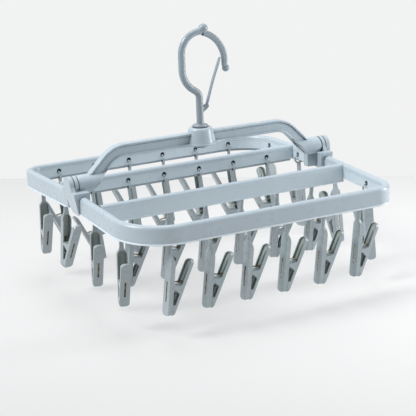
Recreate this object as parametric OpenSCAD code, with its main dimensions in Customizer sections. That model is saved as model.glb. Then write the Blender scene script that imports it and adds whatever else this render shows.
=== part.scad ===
// Clip drying hanger: a folding two-half frame hung from an arched handle,
// a swivel hook with a sprung gate, and thirty-two hanging clips.
// X runs along the hinge line, Y is the depth, Z is up. The origin is the
// highest point inside the hook, where a rail or a line carries the hanger.
// Front is -Y and left is -X.

/* [Frame] */
// Inner half width between the side arms
arm_in = 165; // [160:1:175]
// Inner half depth, hinge axis to the outer rail
rail_in = 164.5; // [162:0.5:170]
// Hinge axis to the near face of the inner bar
bar_in = 57.3; // [54:0.1:60]
// Width of the rail section
rail_w = 9.5; // [9.5:0.1:12]
// Depth of the crown top below the hinge axis
crown_z = 9.5; // [9:0.1:11]
// Depth of the outer skin's lower edge below the hinge axis
skin_z = 32; // [30:0.5:36]
// Depth of the clip wall's lower edge below the hinge axis
wall_z = 27.6; // [27:0.1:28]
// Outside radius of each half's tight corner
corner_a = 27; // [24:1:34]
// Outside radius of each half's wide corner
corner_b = 60; // [54:1:62]
// Thickness of the clip wall
wall_t = 1.8; // [1.6:0.1:1.8]
// Thickness of the outer skin
skin_t = 1.6; // [1.2:0.1:1.6]
// Sag of each half below level, in degrees
sag = 2; // [0:0.5:3]

/* [Clip holes] */
// Spacing of the holes along the rails and bars
pitch = 50; // [48:0.5:50]
// Radius of each hole
hole_r = 2.8; // [2.6:0.05:2.9]
// Depth of the hole centres below the hinge axis
hole_z = 20.2; // [20:0.1:20.5]
// Side-arm hole nearest the hinge
side_near = 44.6; // [42:0.1:47]
// Side-arm hole nearest the corner
side_far = 119; // [115:1:122]

/* [Clips] */
// Ring radius to the wire centre
ring_r = 5.05; // [5:0.05:5.1]
// Ring wire radius
ring_w = 1.25; // [1.1:0.05:1.3]
// Lean of the hanging arm from plumb, in degrees
lean = 7; // [5:0.5:9]
// Angle between the hanging arm and the lever, in degrees
vee = 20.4; // [19:0.1:22]
// Ring centre to the arm's tip
clip_l = 90; // [88:1:92]
// Clip width
clip_w = 12; // [11:0.5:13]
// Thickness of a clip's side walls
clip_t = 1; // [0.9:0.1:1.5]

/* [Hinge] */
// Hinge barrel radius
barrel_r = 10.7; // [10.2:0.1:11]
// Hinge pin radius
pin_r = 3; // [2.5:0.1:3.5]
// Running clearance on the radius
run = 0.06; // [0.04:0.01:0.1]

/* [Handle and hook] */
// Top of the handle above the hinge axis
handle_z = 41.3; // [40:0.1:43]
// Height of the handle section
handle_h = 15.3; // [14:0.1:16]
// Width of the handle flanges
handle_w = 10; // [9:0.5:12]
// Width of the handle web
web_w = 6.4; // [5:0.2:7.4]
// Hook rod radius
rod_r = 4.4; // [4:0.1:4.6]

/* [Hidden] */
$fn = 48;

frame_c = [0.74, 0.80, 0.85];
handle_c = [0.68, 0.74, 0.79];
clip_c = [0.72, 0.77, 0.79];
steel_c = [0.75, 0.72, 0.62];

snug = 0.02;              // radial clearance of the fixed fits

// hinge stations along X
leaf_gap = 0.6;           // axial gap between hinge leaves
x_bar0 = 128;             // handle barrel, inner end
x_bar1 = 169;             // handle barrel, outer end
x_pin0 = 146;             // hinge pin, inner end
pin_l = 32.3;             // hinge pin length
x_leaf0 = x_bar1 + leaf_gap;   // inner knuckle
x_leaf1 = x_leaf0 + 5;
x_plate0 = x_leaf1 + leaf_gap; // outer knuckle plate
x_plate1 = x_plate0 + 5.8;

// hook path in X-Z: stem, neck bend, short straight, loop bend, straight, crown bend
stem_r = 4;               // stem inside the handle boss
stem_top = 84;
neck_angle = 55;
neck_r = 9;
neck_straight = 5.94;
loop_r = 31.5;
hook_crown_r = 26.1;
hook_crown_z = 139;
neck_c = [-neck_r, stem_top];
neck_end = neck_c + neck_r * [cos(neck_angle), sin(neck_angle)];
loop_start = neck_end + neck_straight * [-sin(neck_angle), cos(neck_angle)];
loop_c = loop_start + loop_r * [cos(neck_angle), sin(neck_angle)];
hook_crown_c = [loop_c.x - loop_r + hook_crown_r, hook_crown_z];

// ---------- helpers ----------
// parts are drawn about the hinge axis and moved so the rod seat is the origin
module place() {
  translate([-hook_crown_c.x, 0, -(hook_crown_c.y + hook_crown_r - rod_r)]) children();
}
// 2D (y, z) swept from x0 to x1
module extrude_x(x0, x1) {
  translate([x0, 0, 0]) rotate([90, 0, 90]) linear_extrude(x1 - x0) children();
}
// 2D (x, z) swept from y0 to y1
module extrude_y(y0, y1) {
  translate([0, y1, 0]) rotate([90, 0, 0]) linear_extrude(y1 - y0) children();
}
module rod_x(x0, length, r) {
  translate([x0, 0, 0]) rotate([0, 90, 0]) cylinder(h = length, r = r);
}
// rod along Y, centred on y = 0, at an (x, z) point
module rod_y(point, length, r) {
  translate([point.x, length / 2, point.y]) rotate([90, 0, 0]) cylinder(h = length, r = r);
}
module at_xz(point) { translate([point.x, 0, point.y]) children(); }
module both_ends() { for (s = [0, 1]) mirror([s, 0, 0]) children(); }
function reversed(points) = [for (i = [len(points) - 1:-1:0]) points[i]];
function mirrored(points) = [for (p = points) [-p.x, p.y]];

// ---------- frame ----------
crown_mid = -crown_z - rail_w / 2;   // centre of the rail's round top
tight_in = corner_a - rail_w;        // inner radii of the two corners
wide_in = corner_b - rail_w;
arm_y0 = 21.5;                       // hinge end of the side arms
bar_lap = 0.8;                       // inner bar's overlap into each side arm
leaf_y1 = 22;                        // outward edge of the hinge leaves
shoulder_z = -5.5;                   // top of the hinge blocks
block_x0 = 160.5;                    // inner face of the hinge blocks
block_z0 = -skin_z + 1;              // bottom of the hinge blocks
drill_l = wall_t + 2.4;              // clip-hole cutter, through the wall

// how far the clip wall has curved inward at t, near the wide corner
function curve_in(t, edge) =
  t > edge - wide_in ? wide_in - sqrt(wide_in * wide_in - pow(t - edge + wide_in, 2)) : 0;
function row_x(k) = (k - 2.5) * pitch;
function rail_y(x) = rail_in - curve_in(x, arm_in);

// rail section: x outward from the clip wall, y up
module section() {
  difference() {
    union() {
      translate([rail_w / 2, crown_mid]) circle(r = rail_w / 2);
      translate([0, -skin_z]) square([rail_w, skin_z + crown_mid]);
      // lip along the foot of the skin
      translate([rail_w - 0.5, -skin_z]) square([1.3, 2]);
      // bead along the clip wall
      translate([-0.35, crown_mid - 2]) square([1, 1.3]);
    }
    // hollow, open below
    translate([wall_t, -skin_z - 1]) square([rail_w - wall_t - skin_t, skin_z + crown_mid]);
    // the clip wall stops short of the skin
    translate([-1, -skin_z - 1]) square([1 + wall_t + 0.1, skin_z + 1 - wall_z]);
  }
}
// a corner and its side arm, at the +X end
module frame_end(corner_r) {
  inner_r = corner_r - rail_w;
  translate([arm_in - inner_r, rail_in - inner_r, 0])
    rotate_extrude(angle = 90) translate([inner_r, 0]) section();
  translate([arm_in, 0, 0]) extrude_y(arm_y0, rail_in - inner_r) section();
}
// outer knuckle plate and its block; the outer face leans in downward
module outer_knuckle() {
  difference() {
    extrude_x(x_plate0, x_plate1) union() {
      circle(r = barrel_r);
      polygon([[-barrel_r, 0], [barrel_r, 0], [15, shoulder_z], [leaf_y1, shoulder_z],
        [leaf_y1, -skin_z], [3, -skin_z], [-0.4, -28], [-5.4, -22], [-11.2, -8]]);
    }
    extrude_y(-40, 40) polygon([[x_plate1, -6], [x_plate1 + 9, -6],
      [x_plate1 + 9, -40], [x_plate1 - 6.3, -40]]);
  }
  translate([block_x0, 12, block_z0]) cube([15.2, leaf_y1 - 12, shoulder_z - block_z0]);
}
// inner knuckle and its block, at the -X end
module inner_knuckle() {
  extrude_x(-x_leaf1, -x_leaf0) union() {
    circle(r = barrel_r);
    polygon([[-2, -barrel_r + 0.4], [barrel_r, 0], [15, shoulder_z], [21, shoulder_z],
      [21, -skin_z + 2], [14, -skin_z + 2]]);
  }
  extrude_y(13, leaf_y1) polygon([[-178.5, shoulder_z], [-block_x0, shoulder_z],
    [-block_x0, block_z0], [-175.2, block_z0]]);
}
module clip_holes() {
  for (k = [0:5]) for (y = [rail_y(row_x(k)), bar_in])
    translate([row_x(k), y + wall_t + 1.1, -hole_z])
      rotate([90, 0, 0]) cylinder(h = drill_l, r = hole_r);
  for (s = [-1, 1]) for (y = [side_near, side_far])
    translate([s * (arm_in - 1.5), y, -hole_z])
      rotate([0, s * 90, 0]) cylinder(h = drill_l, r = hole_r);
}
// one half, level, outward +Y: the +X end has the outer knuckle and the wide
// corner, the -X end the inner knuckle and the tight corner
module half() {
  difference() {
    union() {
      translate([0, rail_in, 0]) extrude_x(tight_in - arm_in, arm_in - wide_in) section();
      translate([0, bar_in, 0]) extrude_x(-arm_in - bar_lap, arm_in + bar_lap) section();
      frame_end(corner_b);
      mirror([1, 0, 0]) frame_end(corner_a);
      outer_knuckle();
      inner_knuckle();
    }
    // pin bore: blind in the plate, through in the knuckle
    rod_x(x_plate0 - 1, 4.6, pin_r + run);
    rod_x(-x_leaf1 - 1, 8, pin_r + run);
    clip_holes();
  }
}
module rear_frame() { color(frame_c) place() rotate([-sag, 0, 0]) half(); }
module front_frame() {
  color(frame_c) place() rotate([0, 0, 180]) rotate([-sag, 0, 0]) half();
}

// ---------- handle ----------
bend_x = 104;             // centre of each shoulder bend
bend_r = 42;
bend_z = handle_z - bend_r;
flange_t = 2.5;
boss_z = handle_z - handle_h;

// right half of the line a given depth under the handle's top line, in X and Z:
// round the shoulder, then straight down the leg for a given length
function leg_line(depth, leg) = let (r = bend_r - depth) concat(
  [for (i = [0:14]) let (t = 90 - 45 * i / 14) [bend_x + r * cos(t), bend_z + r * sin(t)]],
  [[bend_x + (r + leg) * cos(45), bend_z + (r - leg) * sin(45)]]);

// arched band between two depths, centred on y = 0
module beam(depth0, depth1, leg, width) {
  upper = leg_line(depth0, leg);
  lower = leg_line(depth1, leg);
  extrude_y(-width / 2, width / 2)
    polygon(concat(reversed(mirrored(upper)), upper, reversed(lower), mirrored(lower)));
}
// right leg's lower line: X down the leg, Y across, Z into the leg
module on_leg() {
  r = bend_r - handle_h;
  translate([bend_x + r * cos(45), 0, bend_z + r * sin(45)]) rotate([0, 45, 0]) children();
}
// end plate outline, one side: straight, easing wider, then round over the barrel
flare_x = [6.5, 12, 25.7, 41.3];   // stations where those three stretches start and end
flare_w0 = 4.8;                    // half width before and after easing
flare_w1 = 10.9;
function flare(side) = concat(
  [for (i = [0:8]) [flare_x[0] + (flare_x[1] - flare_x[0]) * i / 8, side * flare_w0]],
  [for (i = [1:8]) let (t = i / 8)
    [flare_x[1] + (flare_x[2] - flare_x[1]) * t,
     side * (flare_w0 + (flare_w1 - flare_w0) * t * t * (3 - 2 * t))]],
  [for (i = [1:11]) let (a = 90 * i / 12)
    [flare_x[2] + (flare_x[3] - flare_x[2]) * sin(a), side * flare_w1 * cos(a)]]);

module handle() {
  color(handle_c) place() difference() {
    union() {
      beam(0, flange_t, 26, handle_w);
      beam(1.2, handle_h - 1.2, 25.5, web_w);
      beam(handle_h - flange_t, handle_h, 7, handle_w - 0.3);
      // boss on a round widening of the lower flange
      translate([0, 0, boss_z]) cylinder(h = flange_t, r = 19);
      translate([0, 0, boss_z + 2.4]) cylinder(h = 17.1, r1 = 17.3, r2 = 14.6);
      translate([0, 0, 45.3]) cylinder(h = 2.1, r1 = 14.6, r2 = 12.2);
      both_ends() {
        // barrel, its inner end cut along the leg's lower line
        difference() {
          rod_x(x_bar0, x_bar1 - x_bar0, barrel_r);
          on_leg() translate([-40, -20, -60]) cube([120, 40, 61]);
        }
        on_leg() linear_extrude(flange_t) polygon(concat(flare(1), reversed(flare(-1))));
      }
    }
    translate([0, 0, 20]) cylinder(h = 40, r = stem_r + run);
    both_ends() rod_x(x_pin0 - 0.1, 40, pin_r + snug);
  }
}
module hinge_pin() { rod_x(x_pin0, pin_l, pin_r); }
module hinge_pin_right() { color(steel_c) place() hinge_pin(); }
module hinge_pin_left() { color(steel_c) place() mirror([1, 0, 0]) hinge_pin(); }

// ---------- hook ----------
straight_r = rod_r - 0.015;   // the straights are a shade thinner than the bends
rod_lap = 0.4;                // and run this far inside them
gate_pivot = [9.4, 72.4];
gate_pin_r = 1.6;

// a 2D section swept round a centre in the X-Z plane, from angle a0 to a1
module bend(centre, r, a0, a1) {
  at_xz(centre) rotate([90, 0, 0]) rotate([0, 0, a0])
    rotate_extrude(angle = a1 - a0, $fn = 72) translate([r, 0]) children();
}
module rod_section() { circle(r = rod_r, $fn = 32); }
module rod_path() {
  translate([0, 0, 49]) cylinder(h = stem_top - 49 + rod_lap, r = straight_r);
  bend(neck_c, neck_r, 0, neck_angle) rod_section();
  at_xz(neck_end) rotate([0, -neck_angle, 0]) translate([0, 0, -rod_lap])
    cylinder(h = neck_straight + 2 * rod_lap, r = straight_r);
  bend(loop_c, loop_r, 180, 180 + neck_angle) rod_section();
  translate([loop_c.x - loop_r, 0, loop_c.y - rod_lap])
    cylinder(h = hook_crown_z - loop_c.y + 2 * rod_lap, r = straight_r);
  bend(hook_crown_c, hook_crown_r, 84, 180) rod_section();
}
module hook() {
  color(handle_c) place() difference() {
    union() {
      // stem and collar
      translate([0, 0, 21.6]) cylinder(h = 27, r = stem_r);
      translate([0, 0, 47.6]) cylinder(h = 2.4, r = 9.7);
      rod_path();
      // jaw side of the loop, flatter in section, with a ball at each end
      bend([-3, 125], 39.5, -9, 73)
        polygon([[-3.9, -2.6], [-2.8, -3.7], [2.8, -3.7], [3.9, -2.6],
          [3.9, 2.6], [2.8, 3.7], [-2.8, 3.7], [-3.9, 2.6]]);
      at_xz([8.4, 168.3]) sphere(r = 5.8, $fn = 24);
      at_xz([37.6, 116.3]) sphere(r = 4.6, $fn = 24);
      // foot for the gate
      extrude_y(-2.9, 2.9) union() {
        polygon([[1, 64.6], [5.4, 66.2], [11, 70.2], [8, 74.9], [1, 71.4]]);
        translate(gate_pivot) circle(r = 2.9);
      }
    }
    // gate socket and its mouth
    extrude_y(-8, 8) translate(gate_pivot) union() {
      circle(r = gate_pin_r + run);
      polygon([[0.95, -0.31], [2.81, 5.4], [-1.52, 5.9], [-1, -0.09]]);
    }
  }
}
module hook_gate() {
  color(clip_c) place() extrude_y(-2.6, 2.6) translate(gate_pivot) union() {
    circle(r = gate_pin_r);
    polygon([[-0.85, 0.28], [0.85, -0.28], [10.3, 27], [21.6, 57.4],
      [21.4, 59.8], [19.5, 59.6], [8.5, 27.6]]);
  }
}
// ring on the stem under the handle
module hook_retainer() {
  color(clip_c) place() translate([0, 0, 22]) difference() {
    cylinder(h = 3.7, r = 8.5);
    translate([0, 0, -1]) cylinder(h = 6, r = stem_r + snug);
  }
}

// ---------- clips ----------
// Drawn with the ring centre at the origin: X along the opening, Y across, Z up.
half_w = clip_w / 2;
foot_r = 4;               // corner radius of the gripping ends
arm_round_z = -26;        // centre of the arm's round top
fulcrum = [5.6, -57.5];   // lever fulcrum, (x, z)
lever_tip = [7.0, -89.8]; // lever's outer tip corner, (x, z)
lever_l = 67.5;
lever_grip = 36.5;        // where the lever's handle part starts, from its tip
tooth_pitch = 2.5;

// broad face in (y, z): round top, rounded foot corners
module face(side_z, round_z, foot_z, foot_h, corner_z) {
  translate([-half_w, side_z]) square([2 * half_w, round_z - side_z]);
  translate([0, round_z]) circle(r = half_w);
  translate([-half_w + foot_r, foot_z]) square([2 * (half_w - foot_r), foot_h]);
  for (s = [-1, 1]) translate([s * (half_w - foot_r), corner_z]) circle(r = foot_r);
}
// strip between the side walls, in (y, z)
module inner_strip(z0, z1) {
  translate([-half_w + clip_t, z0]) square([2 * (half_w - clip_t), z1 - z0]);
}
// the strip with a round top
module channel(z0, z1) {
  inner_strip(z0, z1);
  translate([0, z1]) circle(r = half_w - clip_t);
}
// cutters for a row of V grooves, upward from z0
module teeth(z0, count, base_x, point_x) {
  for (i = [0:count - 1]) let (z = z0 + i * tooth_pitch)
    extrude_y(-20, 20) polygon([[base_x, z - 0.7], [point_x, z], [base_x, z + 0.7]]);
}
module clip_arm() {
  // open ring
  rotate([90, 0, 90]) rotate([0, 0, 62])
    rotate_extrude(angle = 322, $fn = 48) translate([ring_r, 0]) circle(r = ring_w);
  difference() {
    union() {
      difference() {
        intersection() {
          extrude_y(-half_w, half_w) polygon([[-1.6, -clip_l], [4.4, -clip_l], [4.4, -30],
            [1.8, -21], [1.8, -17], [-1.6, -17]]);
          extrude_x(-10, 10) face(side_z = -clip_l + foot_r, round_z = arm_round_z,
            foot_z = -clip_l, foot_h = 6, corner_z = -clip_l + foot_r);
        }
        extrude_x(0.2, 10) channel(-79, arm_round_z);
      }
      // neck
      translate([-1.25, -2.5, -24]) cube([2.5, 5, 18.4]);
    }
    // slot for the spring leg
    translate([-5, -1, -74]) cube([6, 2, 24]);
    // socket for the fulcrum
    rod_y(fulcrum, 40, 2.5);
    teeth(-88, 4, base_x = 5, point_x = 3.9);
  }
}
// lever's own frame: Z up the outer face from the tip, X outward
module on_lever() { at_xz(lever_tip) rotate([0, vee, 0]) children(); }
// (x, z) of a point so far along the lever and so deep under its outer face
function lever_pt(along, depth) =
  lever_tip + along * [sin(vee), cos(vee)] + depth * [-cos(vee), sin(vee)];

module clip_lever() {
  difference() {
    intersection() {
      union() {
        extrude_y(-half_w, half_w) polygon([
          lever_pt(0, 0), lever_pt(lever_l, 0), lever_pt(lever_l, 4.5),
          lever_pt(lever_grip, 4.5), [7.4, -55.6], fulcrum, [6.6, -59.6],
          lever_pt(25.5, 4.6), lever_pt(25.5, 3.4), lever_pt(12.5, 3.4),
          [4.5, -78.6], [4.5, lever_tip.y]]);
        rod_y(fulcrum, clip_w, 2.4);
      }
      on_lever() extrude_x(-32, 8) face(side_z = 3, round_z = lever_l - half_w,
        foot_z = -8, foot_h = 16, corner_z = foot_r);
    }
    // handle channel and the hollow below the fulcrum
    on_lever() extrude_x(-21.8, -1.8) union() {
      channel(lever_grip, lever_l - half_w);
      inner_strip(12.5, 24.5);
    }
    // spring slot
    on_lever() translate([-4, -1, 15]) cube([6, 2, 25]);
    teeth(-86.75, 3, base_x = 4, point_x = 5);
  }
}
// wire spring: two strands over the fulcrum, one leg in each slot
module clip_spring() {
  leg_w = 0.5;            // half widths of the legs and of the pair of strands
  pair_w = 0.95;
  lever_end = lever_pt(38.6, 1.4);
  for (y = [-pair_w, 0.15]) extrude_y(y, y + 0.8)
    polygon([[-1.1, -51.4], [-0.1, -51.9], lever_end + [-0.4, -0.9],
      lever_end + [0.3, 0.1], [-0.1, -50.8]]);
  // arm leg and its wider top
  for (leg = [[-72.5, leg_w], [-52.4, pair_w]]) extrude_y(-leg[1], leg[1])
    polygon([[-1.1, leg[0]], [-0.1, leg[0]], [-0.1, -50.8], [-1.1, -51.4]]);
  // lever leg and its wider top
  for (leg = [[17, leg_w], [38.2, pair_w]]) extrude_y(-leg[1], leg[1])
    polygon([lever_pt(leg[0], 1.3), lever_pt(leg[0], 0.4),
      lever_pt(39.2, 0.4), lever_pt(39.2, 1.3)]);
}

// ---------- hanging the clips ----------
strip_z = -(wall_z + hole_z + hole_r) / 2;   // middle of the strip under a hole
strip_mid = wall_t / 2;
ring_drop = 0.95;                            // ring centre below the strip middle

// clip seats (x, y) in the level half's own frame; side is 1 for rear, -1 for front
function rail_seats(side) =
  [for (k = [0:5]) let (x = side * row_x(k)) [x, rail_y(x) + strip_mid]];
function bar_seats(side) = [for (k = [0:5]) [side * row_x(k), bar_in + strip_mid]];
wide_seats = [for (y = [side_near, side_far]) [arm_in + strip_mid - curve_in(y, rail_in), y]];
tight_seats = [for (y = [side_near, side_far]) [-(arm_in + strip_mid), y]];

// name, side, seats, nominal heading, turn of each clip about its ring from that heading;
// rows run left to right, side arms from the hinge to the corner
GROUPS = [
  ["front_rail", -1, rail_seats(-1), 0, [7, 4, 6, 5, 5, 8]],
  ["front_bar", -1, bar_seats(-1), 0, [3, -4, 5, 2, -3, 4]],
  ["rear_bar", 1, bar_seats(1), 180, [-4, 3, -2, 5, -5, 2]],
  ["rear_rail", 1, rail_seats(1), 180, [5, -3, 4, -2, 3, -5]],
  ["left_front", -1, wide_seats, -90, [-15, -15]],
  ["left_rear", 1, tight_seats, -90, [9, -10]],
  ["right_front", -1, tight_seats, 90, [6, -4]],
  ["right_rear", 1, wide_seats, 90, [-5, 7]]];

function sagged(y, z) = [y * cos(sag) + z * sin(sag), -y * sin(sag) + z * cos(sag)];

// hang a clip part at seat k of a group
module hang(group, k) {
  side = group[1];
  seat = group[2][k];
  strip = sagged(seat.y, strip_z);
  translate([side * seat.x, side * strip[0], strip[1] - ring_drop])
    rotate([0, 0, group[3] + group[4][k]]) rotate([0, lean, 0]) children();
}
module arms(group) {
  color(clip_c) place() for (k = [0:len(group[2]) - 1]) hang(group, k) clip_arm();
}
module springs(group) {
  color(steel_c) place() for (k = [0:len(group[2]) - 1]) hang(group, k) clip_spring();
}
module lever(group, number) { color(clip_c) place() hang(group, number - 1) clip_lever(); }

hook();
hook_gate();
hook_retainer();
handle();
hinge_pin_left();
hinge_pin_right();
front_frame();
rear_frame();
for (g = GROUPS) arms(g);
for (g = GROUPS) springs(g);
for (g = GROUPS) for (k = [1:len(g[2])])
  lever(g, k);
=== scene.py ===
"""Folding drying hanger: two half frames hinged under an arched handle, a swivel hook with
a gate, and 32 sprung clips hanging from the frame.

Parts are built in millimetres about the hinge line: X along it, +Y to the rear, Z up.
PLACE turns that into metres with the origin at the inner top of the hook's crown.
"""
from math import sin, cos, pi, radians, sqrt

import bpy
import bmesh
from mathutils import Vector, Matrix


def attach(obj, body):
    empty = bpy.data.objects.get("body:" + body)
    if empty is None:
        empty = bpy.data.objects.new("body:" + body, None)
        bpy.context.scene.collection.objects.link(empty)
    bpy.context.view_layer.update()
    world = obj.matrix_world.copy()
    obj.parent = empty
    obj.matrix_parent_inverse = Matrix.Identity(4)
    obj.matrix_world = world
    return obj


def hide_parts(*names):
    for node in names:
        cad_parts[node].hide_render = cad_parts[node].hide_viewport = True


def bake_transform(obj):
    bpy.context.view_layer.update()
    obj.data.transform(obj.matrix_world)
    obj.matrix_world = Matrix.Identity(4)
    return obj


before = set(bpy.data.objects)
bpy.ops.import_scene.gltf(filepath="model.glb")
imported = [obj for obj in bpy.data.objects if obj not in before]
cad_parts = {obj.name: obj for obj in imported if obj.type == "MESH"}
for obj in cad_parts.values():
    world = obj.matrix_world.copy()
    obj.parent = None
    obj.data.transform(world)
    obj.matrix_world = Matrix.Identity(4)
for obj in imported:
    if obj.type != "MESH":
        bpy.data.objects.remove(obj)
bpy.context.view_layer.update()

MM = 0.001
ORIGIN, X, Y, Z = (0, 0, 0), (1, 0, 0), (0, 1, 0), (0, 0, 1)
# Frames for prism and lathe: origin, two section axes, then the long axis
ALONG_X = (ORIGIN, Y, Z, X)
ALONG_Y = (ORIGIN, X, Z, Y)
ALONG_Z = (ORIGIN, X, Y, Z)

# ---------------------------------------------------------------- driving dimensions (mm)
# Hook centreline in the x-z plane: stem, bend to -X, short slant, wide back arc, crown
ROD_R = 4.4
BEND, BEND_R, BEND_Z = 55, 9, 84
SLANT = 5.94
BACK_R, CROWN_R, CROWN_Z = 31.5, 26.1, 139.0
bend_cos, bend_sin = cos(radians(BEND)), sin(radians(BEND))
bend_end = (-BEND_R + BEND_R * bend_cos, BEND_Z + BEND_R * bend_sin)
slant_end = (bend_end[0] - SLANT * bend_sin, bend_end[1] + SLANT * bend_cos)
BACK_C = (slant_end[0] + BACK_R * bend_cos, slant_end[1] + BACK_R * bend_sin)
BACK_X = BACK_C[0] - BACK_R
CROWN_C = (BACK_X + CROWN_R, CROWN_Z)
SCENE_X, SCENE_Z = CROWN_C[0], CROWN_C[1] + CROWN_R - ROD_R
PLACE = Matrix.Scale(MM, 4) @ Matrix.Translation((-SCENE_X, 0, -SCENE_Z))

# Half frame: inner faces of arms, outer rail and bar
SAG = radians(2)
ARM_IN, RAIL_IN, BAR_IN = 165.0, 164.5, 57.3
RAIL_W = 9.5
TIGHT, WIDE = 27, 60                          # outer corner radii
TIGHT_IN, WIDE_IN = TIGHT - RAIL_W, WIDE - RAIL_W
WALL_T, WALL_Z = 1.8, 27.6                    # inner wall: thickness, depth below the hinge
HOLE_Z, HOLE_R = 20.2, 2.8
BARREL_R, PIN_Z = 10.7, -5.5                  # hinge barrel; top of the blocks beside it

# Clips
PITCH, SIDE_Y = 50.0, (44.6, 119.0)
STRIP_Z = -(WALL_Z + HOLE_Z + HOLE_R) / 2     # middle of the strip of wall under a hole
STRIP_OUT = WALL_T / 2
RING_DROP = 0.95
CLIP_LEAN = radians(7)
# Turn of each clip about Z, degrees
CLIP_TURNS = dict(
    front_rail=[7, 4, 6, 5, 5, 8], front_bar=[3, -4, 5, 2, -3, 4],
    rear_bar=[-4, 3, -2, 5, -5, 2], rear_rail=[5, -3, 4, -2, 3, -5],
    left_front=[-15, -15], left_rear=[9, -10], right_front=[6, -4], right_rear=[-5, 7])


# ---------------------------------------------------------------- outlines
def arc(centre, radius, start, end, steps):
    """Points on an arc; angles in degrees."""
    angles = [radians(start + (end - start) * i / steps) for i in range(steps + 1)]
    return [(centre[0] + radius * cos(a), centre[1] + radius * sin(a)) for a in angles]


def mirrored(points, middle=()):
    """Points, then the middle ones, then the points back again with the second sign turned."""
    return points + list(middle) + [(u, -v) for u, v in reversed(points)]


def fillet(points, radius, steps=3):
    """Round the corners of a closed polygon; one radius, or one per corner."""
    out = []
    for i, point in enumerate(points):
        r = radius[i] if isinstance(radius, (list, tuple)) else radius
        corner = Vector(point)
        back = Vector(points[i - 1]) - corner
        ahead = Vector(points[(i + 1) % len(points)]) - corner
        trim = min(r, back.length * 0.46, ahead.length * 0.46)
        start = corner + back.normalized() * trim
        end = corner + ahead.normalized() * trim
        for j in range(steps + 1):
            u = j / steps
            out.append(tuple(start * (1 - u) ** 2 + corner * 2 * u * (1 - u) + end * u * u))
    return out


def spline(points):
    """Smooth curve through 3D points, four steps between each pair."""
    keys = [Vector(p) for p in points]
    out = []
    for i in range(len(keys) - 1):
        p0, p1, p2 = keys[max(i - 1, 0)], keys[i], keys[i + 1]
        p3 = keys[min(i + 2, len(keys) - 1)]
        for j in range(4):
            t = j / 4
            out.append(0.5 * ((2 * p1) + (p2 - p0) * t + (2 * p0 - 5 * p1 + 4 * p2 - p3) * t * t
                              + (3 * p1 - p0 - 3 * p2 + p3) * t ** 3))
    out.append(keys[-1])
    return out


# ---------------------------------------------------------------- shapes
def skin(shape, rings):
    """Quads between neighbouring rings."""
    faces = []
    for low, high in zip(rings, rings[1:]):
        for i in range(len(low)):
            j = (i + 1) % len(low)
            faces.append(shape.faces.new([low[i], low[j], high[j], high[i]]))
    return faces


def capped(shape, rings):
    faces = skin(shape, rings)
    faces += [shape.faces.new(list(reversed(rings[0]))), shape.faces.new(rings[-1])]
    bmesh.ops.recalc_face_normals(shape, faces=faces)


def prism(shape, points, axes, start, end):
    """Extrude a polygon along the third axis of a frame."""
    o, ex, ey, ez = [Vector(v) for v in axes]
    capped(shape, [[shape.verts.new(o + ex * p[0] + ey * p[1] + ez * t) for p in points]
                   for t in (start, end)])


def sweep(shape, section, stations):
    """Carry a section along stations (origin, u axis, v axis); it may depend on the index."""
    rings = []
    for i, station in enumerate(stations):
        o, eu, ev = [Vector(v) for v in station]
        points = section(i) if callable(section) else section
        rings.append([shape.verts.new(o + eu * p[0] + ev * p[1]) for p in points])
    capped(shape, rings)


def lathe(shape, profile, axes, sides=48):
    """Turn a profile (radius, height) round the third axis; radius 0 closes to a point."""
    o, ex, ey, ez = [Vector(v) for v in axes]
    rings = []
    for r, z in profile:
        if r < 1e-6:
            rings.append([shape.verts.new(o + ez * z)])
            continue
        angles = [2 * pi * i / sides for i in range(sides)]
        rings.append([shape.verts.new(o + (ex * cos(a) + ey * sin(a)) * r + ez * z)
                      for a in angles])
    faces = []
    for low, high in zip(rings, rings[1:]):
        for i in range(sides):
            j = (i + 1) % sides
            quad = [low[i % len(low)], low[j % len(low)], high[j % len(high)], high[i % len(high)]]
            faces.append(shape.faces.new(list(dict.fromkeys(quad))))
    bmesh.ops.recalc_face_normals(shape, faces=faces)


def tube(shape, points, radius, sides, up=Y):
    """Round rod with domed ends; one radius, or one per point."""
    path = [Vector(p) for p in points]
    radii = list(radius) if isinstance(radius, list) else [radius] * len(path)
    dome = [radians(a) for a in (88, 65, 40, 18)]
    first, last = (path[0] - path[1]).normalized(), (path[-1] - path[-2]).normalized()
    r0, r1 = radii[0], radii[-1]
    path = ([path[0] + first * r0 * sin(a) for a in dome] + path
            + [path[-1] + last * r1 * sin(a) for a in reversed(dome)])
    radii = [r0 * cos(a) for a in dome] + radii + [r1 * cos(a) for a in reversed(dome)]
    stations, normal = [], Vector(up)
    for i, point in enumerate(path):
        along = (path[min(i + 1, len(path) - 1)] - path[max(i - 1, 0)]).normalized()
        normal = (normal - along * normal.dot(along)).normalized()
        stations.append((point, normal, along.cross(normal)))
    turns = [2 * pi * j / sides for j in range(sides)]
    sweep(shape, lambda i: [(radii[i] * cos(a), radii[i] * sin(a)) for a in turns], stations)


def to_mesh(shape, name="part"):
    mesh = bpy.data.meshes.new(name)
    shape.to_mesh(mesh)
    shape.free()
    return mesh


def solid(make, *args):
    """Mesh of a single prism, sweep or lathe."""
    shape = bmesh.new()
    make(shape, *args)
    return to_mesh(shape)


def add_object(name, data):
    made = bpy.data.objects.new(name, data)
    bpy.context.scene.collection.objects.link(made)
    return made


def evaluate(mesh, *modifiers):
    """Run modifiers given as (type, settings) and return the finished mesh."""
    work = add_object("work", mesh)
    for kind, settings in modifiers:
        modifier = work.modifiers.new(kind, kind)
        for key, value in settings.items():
            setattr(modifier, key, value)
    bpy.context.view_layer.update()
    graph = bpy.context.evaluated_depsgraph_get()
    out = bpy.data.meshes.new_from_object(work.evaluated_get(graph))
    bpy.data.objects.remove(work)
    return out


def cut(mesh, cutter, operation="DIFFERENCE"):
    other = add_object("cutter", cutter)
    out = evaluate(mesh, ("BOOLEAN", dict(operation=operation, solver="EXACT", object=other)))
    bpy.data.objects.remove(other)
    return out


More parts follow.
